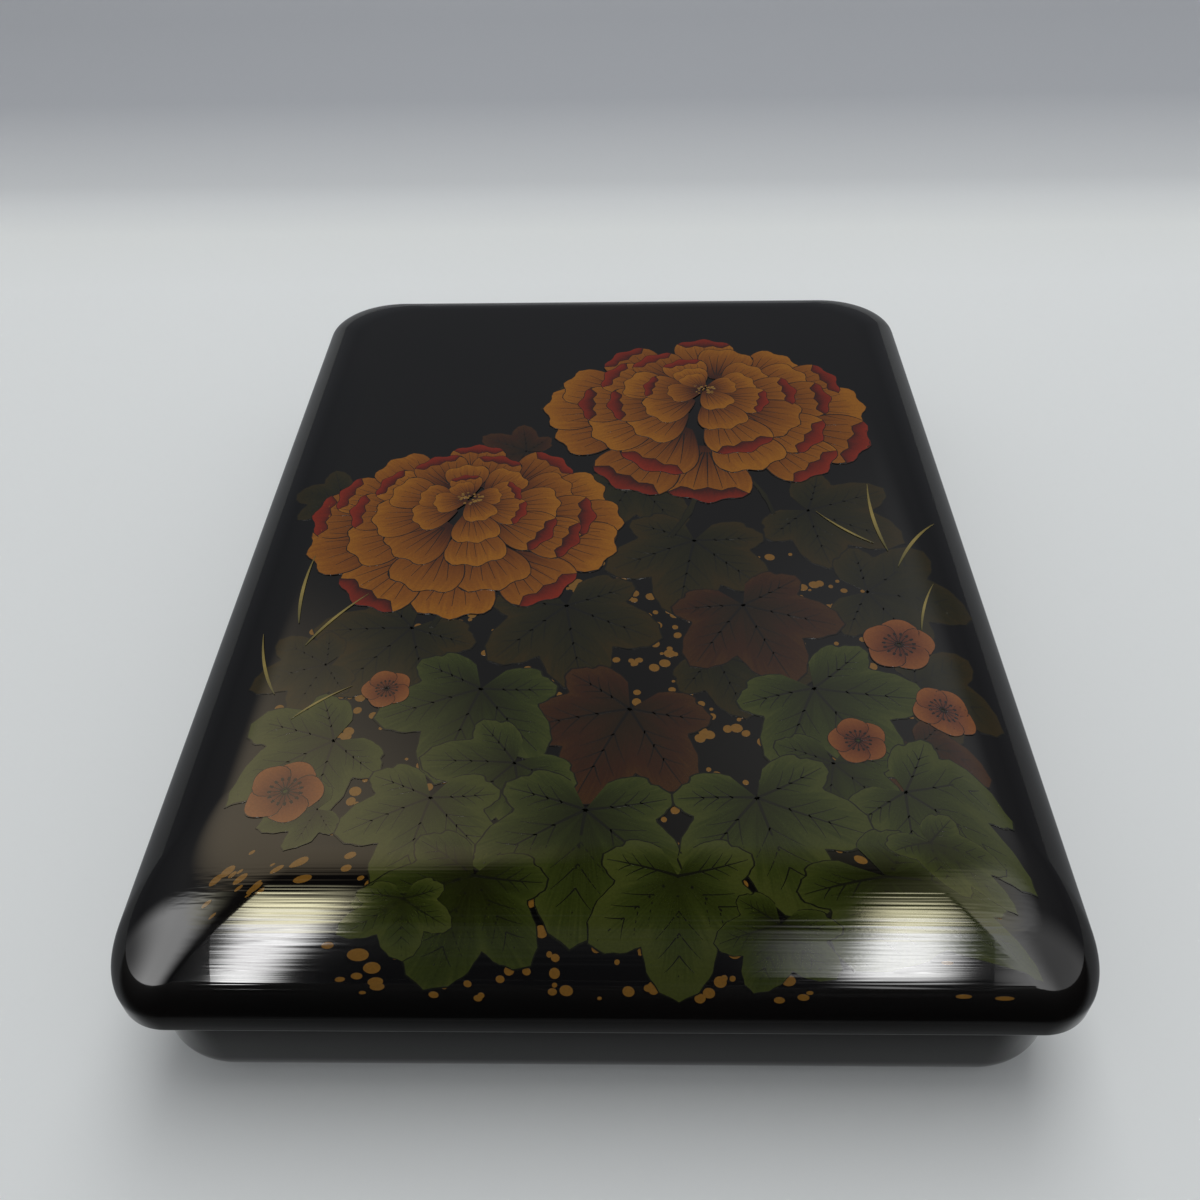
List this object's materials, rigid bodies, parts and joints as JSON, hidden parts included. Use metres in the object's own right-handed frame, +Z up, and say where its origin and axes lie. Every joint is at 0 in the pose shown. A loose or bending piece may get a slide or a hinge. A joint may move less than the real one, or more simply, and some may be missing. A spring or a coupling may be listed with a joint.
{
  "type": "lacquer writing box",
  "caption": "Low rectangular lacquered wooden box with an overlapping soft-shouldered lid and a lift-out tray that holds an inkstone, a water dropper, an ink stick, brushes, a knife and an awl.",
  "frame": {"origin": "on the table, under the middle of the box's plan", "axes": "+Z up, +Y to the back along the long side, +X to the right"},
  "size_m": [0.26, 0.346, 0.07],
  "materials": {
    "lid_lacquer": "high-gloss black lacquer over wood, painted with flowers in gold, orange and green lacquer",
    "box_lacquer": "high-gloss black lacquer over wood",
    "board_lacquer": "satin black lacquer over thin boards",
    "slate": "honed dark slate",
    "dropper_brass": "aged satin brass",
    "ink": "pressed soot ink, dull with a slight polish",
    "bamboo": "smooth bamboo",
    "horn": "polished dark horn",
    "hair": "sized brush hair",
    "rosewood": "oiled rosewood",
    "collar_brass": "polished brass",
    "steel": "ground steel"
  },
  "bodies": {
    "box": {"box_body": "box_lacquer", "ledge_left": "board_lacquer", "ledge_right": "board_lacquer", "ledge_front": "board_lacquer", "ledge_back": "board_lacquer"},
    "lid": {"lid": "lid_lacquer"},
    "tray": {"tray_base": "board_lacquer", "tray_frame": "board_lacquer", "long_partition": "board_lacquer", "cross_partition": "board_lacquer", "seat_board": "board_lacquer", "brush_rest_front": "board_lacquer", "brush_rest_back": "board_lacquer"},
    "inkstone": {"inkstone": "slate"},
    "water_dropper": {"dropper_pan": "dropper_brass", "dropper_cover": "dropper_brass", "dropper_spout": "dropper_brass"},
    "ink_stick": {"ink_stick": "ink"},
    "large_brush": {"large_brush_handle": "bamboo", "large_brush_collar": "horn", "large_brush_tip": "hair"},
    "large_cap": {"large_brush_cap": "bamboo"},
    "small_brush": {"small_brush_handle": "bamboo", "small_brush_collar": "horn", "small_brush_tip": "hair"},
    "small_cap": {"small_brush_cap": "bamboo"},
    "knife": {"knife_handle": "rosewood", "knife_collar": "collar_brass", "knife_blade": "steel"},
    "awl": {"awl_handle": "rosewood", "awl_collar": "collar_brass", "awl_shaft": "steel"}
  },
  "joints": [
    {"name": "lid_lift", "type": "slide", "parent": "box", "child": "lid", "axis": [0, 0, 1], "range_m": [0, 0.2]},
    {"name": "tray_lift", "type": "slide", "parent": "box", "child": "tray", "axis": [0, 0, 1], "range_m": [0, 0.06]},
    {"name": "inkstone_lift", "type": "slide", "parent": "box", "child": "inkstone", "axis": [0, 0, 1], "range_m": [0, 0.1]},
    {"name": "dropper_lift", "type": "slide", "parent": "box", "child": "water_dropper", "axis": [0, 0, 1], "range_m": [0, 0.116]},
    {"name": "ink_stick_lift", "type": "slide", "parent": "box", "child": "ink_stick", "axis": [0, 0, 1], "range_m": [0, 0.1]},
    {"name": "large_brush_lift", "type": "slide", "parent": "box", "child": "large_brush", "axis": [0, 0, 1], "range_m": [0, 0.124]},
    {"name": "small_brush_lift", "type": "slide", "parent": "box", "child": "small_brush", "axis": [0, 0, 1], "range_m": [0, 0.124]},
    {"name": "knife_lift", "type": "slide", "parent": "box", "child": "knife", "axis": [0, 0, 1], "range_m": [0, 0.108]},
    {"name": "awl_lift", "type": "slide", "parent": "box", "child": "awl", "axis": [0, 0, 1], "range_m": [0, 0.108]},
    {"name": "large_cap_pull", "type": "slide", "parent": "large_brush", "child": "large_cap", "axis": [0, 1, 0], "range_m": [0, 0.055]},
    {"name": "small_cap_pull", "type": "slide", "parent": "small_brush", "child": "small_cap", "axis": [0, 1, 0], "range_m": [0, 0.04]}
  ],
  "couplings": [
    {"joint": "tray_lift", "follows": "lid_lift", "ratio": 0.3},
    {"joint": "inkstone_lift", "follows": "lid_lift", "ratio": 0.5},
    {"joint": "dropper_lift", "follows": "lid_lift", "ratio": 0.58},
    {"joint": "ink_stick_lift", "follows": "lid_lift", "ratio": 0.5},
    {"joint": "large_brush_lift", "follows": "lid_lift", "ratio": 0.62},
    {"joint": "small_brush_lift", "follows": "lid_lift", "ratio": 0.62},
    {"joint": "knife_lift", "follows": "lid_lift", "ratio": 0.54},
    {"joint": "awl_lift", "follows": "lid_lift", "ratio": 0.54}
  ]
}
